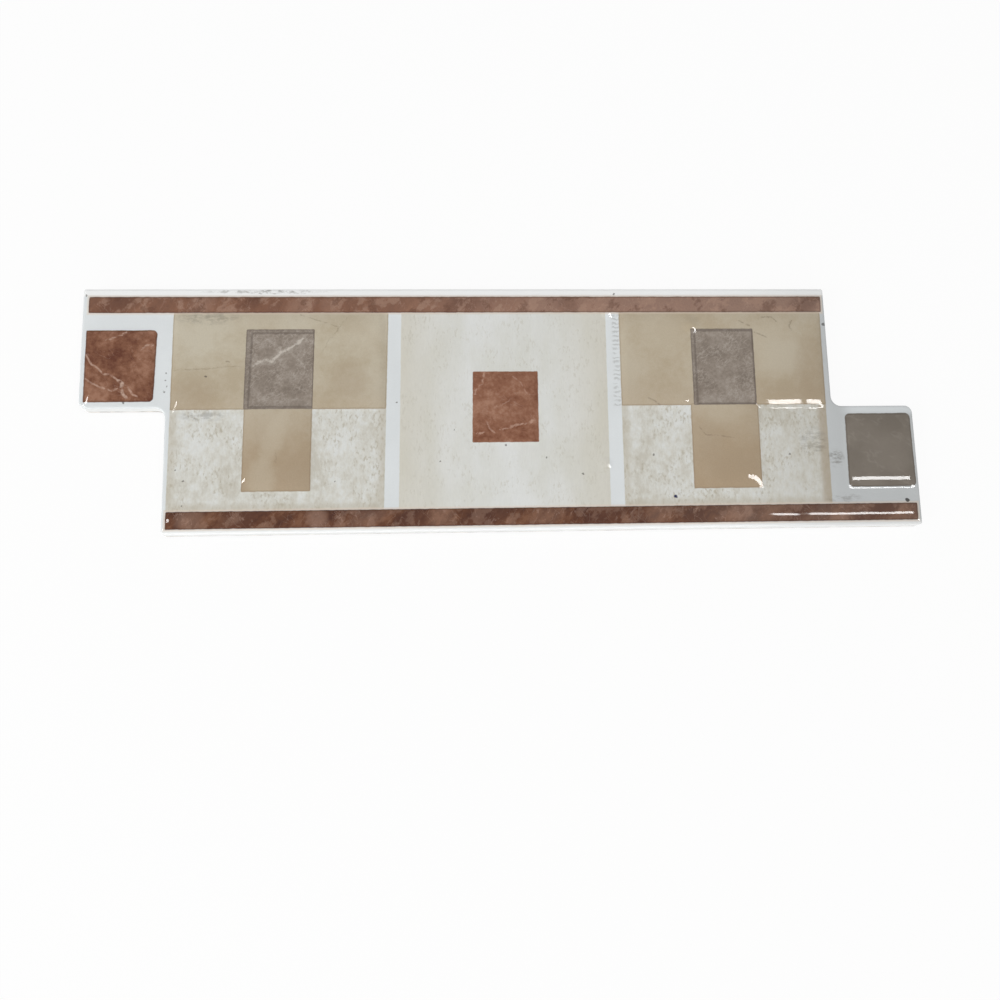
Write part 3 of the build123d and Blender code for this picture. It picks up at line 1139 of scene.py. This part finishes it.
def finish_glaze(p, colour):
    """Clear gloss over the print, with a faint orange-peel and small beads."""
    swell = p.both(p.noise(5, detail=2, seed=40), PEEL)
    for x, y, radius, height in BEADS:
        reach = p.measure("DISTANCE", {0: p.flat, 1: (x, y, 0.0)})
        swell = p.linear(p.fade(reach, radius, 0.0), height, swell)
    normal = p.node("Bump", {"Strength": 1.0, "Distance": MM, "Height": swell}).outputs[0]
    worn = p.linear(p.noise(12, detail=3, seed=41), GLAZE_WEAR, GLAZE_ROUGHNESS)
    inputs = {"Base Color": colour, "Roughness": worn, "Normal": normal}
    inputs["Specular IOR Level"] = GLAZE_GLOSS
    return p.finish(inputs)


def face_material():
    """The printed and glazed face."""
    p = Print("glazed_face")
    colour = white_ground(p)
    colour = add_fields(p, colour)
    colour = add_grey_blocks(p, colour)
    colour = add_red_blocks(p, colour)
    colour = add_strips(p, colour)
    colour = add_marks(p, colour)
    return finish_glaze(p, colour)


def body_material():
    """Fired clay of the sides and back, with glaze run down the sides and painted shade, dark and
    broken, at the foot.

    Neither the run nor the painted shade at the foot is on the bevel or the back, which face down.
    """
    g = Graph("fired_body")
    clay = g.ramp(g.noise(14, detail=5, seed=30), (0.35, 0.65), CLAY_TONES)
    pores = g.fade(g.noise(0.7, detail=2, seed=31), 0.6, 0.7)
    clay = g.tint(clay, PORE_TONE, pores, 0.35)
    run = g.linear(g.noise(9, detail=4, seed=32), RUN_SPREAD, RUN_LOWEST)
    normal = g.node("TexCoord").outputs["Normal"]
    down = g.math("ABSOLUTE", g.node("SeparateXYZ", {0: normal}).outputs[2])
    sides = g.fade(down, 0.4, 0.2)
    glazed = g.both(g.fade(g.less(g.z, run), -0.2, 0.3), sides)
    colour = g.mix(glazed, clay, GLAZE_RUN_TONE)
    # Painted shade: a dark, broken band at the foot of the sides
    broken = g.fade(g.noise(6, detail=4, seed=35), 0.42, 0.6)
    foot = g.both(g.both(g.fade(g.z, *FOOT_SHADE_FADE), broken), sides)
    colour = g.tint(colour, FOOT_SHADE_TONE, foot, 0.75)
    roughness = g.linear(glazed, RUN_ROUGHNESS - CLAY_ROUGHNESS, CLAY_ROUGHNESS)
    grit = g.noise(0.9, detail=4, seed=33)
    gritty = g.linear(glazed, RUN_GRIT - CLAY_GRIT, CLAY_GRIT)
    inputs = {"Strength": gritty, "Distance": GRIT_METRES, "Height": grit}
    bumped = g.node("Bump", inputs).outputs[0]
    return g.finish({"Base Color": colour, "Roughness": roughness, "Normal": bumped})


# Stage, light and camera, in metres

FLOOR_HALF = 3.0
FLOOR_Z = -0.0002
FLOOR_GLOW = 0.92

# Lamps as (name, place, size, brightness, whether it faces the tile or straight down)
LAMPS = (
    ("right pane", (0.820, 0.12, 2.0), (0.07, 0.175), 27.0, False),
    ("right pane", (1.104, 0.12, 2.0), (0.45, 0.175), 27.0, False),
    ("left panel", (-1.1, 0.25, 2.0), (0.20, 0.175), 27.0, False),
    ("side panel", (-1.1, -0.6, 0.8), (0.9, 0.9), 3.2, True),
    ("front panel", (-0.1, -1.6, 0.5), (1.6, 0.5), 3.0, True),
)
SKY = 0.44

SENSOR = 36.0
LENS = 36.0
CLIP_START = 0.01
CAMERA_PLACE = Vector((-0.0280, -0.1144, 0.4360))
CAMERA_AIM = Vector((-0.0030, -0.0419, 0.0076))
CAMERA_ROLL = math.radians(1.265)


def make_floor():
    """A pale floor that stays near white to the camera and keeps the tile's shadow."""
    mesh = bpy.data.meshes.new("floor")
    corners = [(a * FLOOR_HALF, b * FLOOR_HALF, FLOOR_Z) for a, b in CORNER_SIGNS]
    mesh.from_pydata(corners, [], [(0, 1, 2, 3)])
    material = bpy.data.materials.new("floor")
    g = Nodes(material)
    diffuse = g.node("BsdfDiffuse", {"Color": light(FLOOR_TONE)})
    glow = g.node("Emission", {"Color": light(WHITE), "Strength": 1.0})
    share = g.both(g.background_rays(), FLOOR_GLOW)
    mixed = g.node("MixShader", {0: share, 1: diffuse.outputs[0], 2: glow.outputs[0]})
    g.node("OutputMaterial", {"Surface": mixed.outputs[0]})
    mesh.materials.append(material)
    floor = bpy.data.objects.new("floor", mesh)
    bpy.context.scene.collection.objects.link(floor)
    return floor


def make_sky():
    """Even light from all round, white to the camera."""
    world = bpy.data.worlds.new("sky")
    g = Nodes(world)
    inputs = {"Value": g.background_rays(), "To Min": SKY, "To Max": 1.0}
    strength = g.node("MapRange", inputs).outputs[0]
    background = g.node("Background", {"Color": light(WHITE), "Strength": strength})
    g.node("OutputWorld", {"Surface": background.outputs[0]})
    bpy.context.scene.world = world


def make_lamp(name, place, size, brightness, faces_tile):
    """A rectangular soft light, which the camera does not see."""
    data = bpy.data.lights.new(name, "AREA")
    data.shape = "RECTANGLE"
    data.size, data.size_y = size
    data.energy = brightness * math.pi * size[0] * size[1]
    panel = bpy.data.objects.new(name, data)
    panel.location = place
    if faces_tile:
        panel.rotation_euler = (-Vector(place)).to_track_quat("-Z", "Y").to_euler()
    panel.visible_camera = False
    bpy.context.scene.collection.objects.link(panel)


def make_camera():
    """The photograph's view: from above and in front, rolled a little."""
    back = (CAMERA_PLACE - CAMERA_AIM).normalized()
    up = Vector((0, 1, 0))
    up = (up - up.dot(back) * back).normalized()
    right = up.cross(back)
    up = math.cos(CAMERA_ROLL) * up + math.sin(CAMERA_ROLL) * right
    right = up.cross(back)
    data = bpy.data.cameras.new("camera")
    data.sensor_width = SENSOR
    data.lens = LENS
    data.clip_start = CLIP_START
    camera = bpy.data.objects.new("camera", data)
    turn = Matrix((right, up, back)).transposed().to_4x4()
    camera.matrix_world = Matrix.Translation(CAMERA_PLACE) @ turn
    bpy.context.scene.collection.objects.link(camera)
    bpy.context.scene.camera = camera


tile = make_tile((face_material(), body_material()))
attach(tile, "root")
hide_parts(NODE)
make_floor()
make_sky()
for lamp in LAMPS:
    make_lamp(*lamp)
make_camera()
bpy.context.scene.view_settings.view_transform = "Standard"
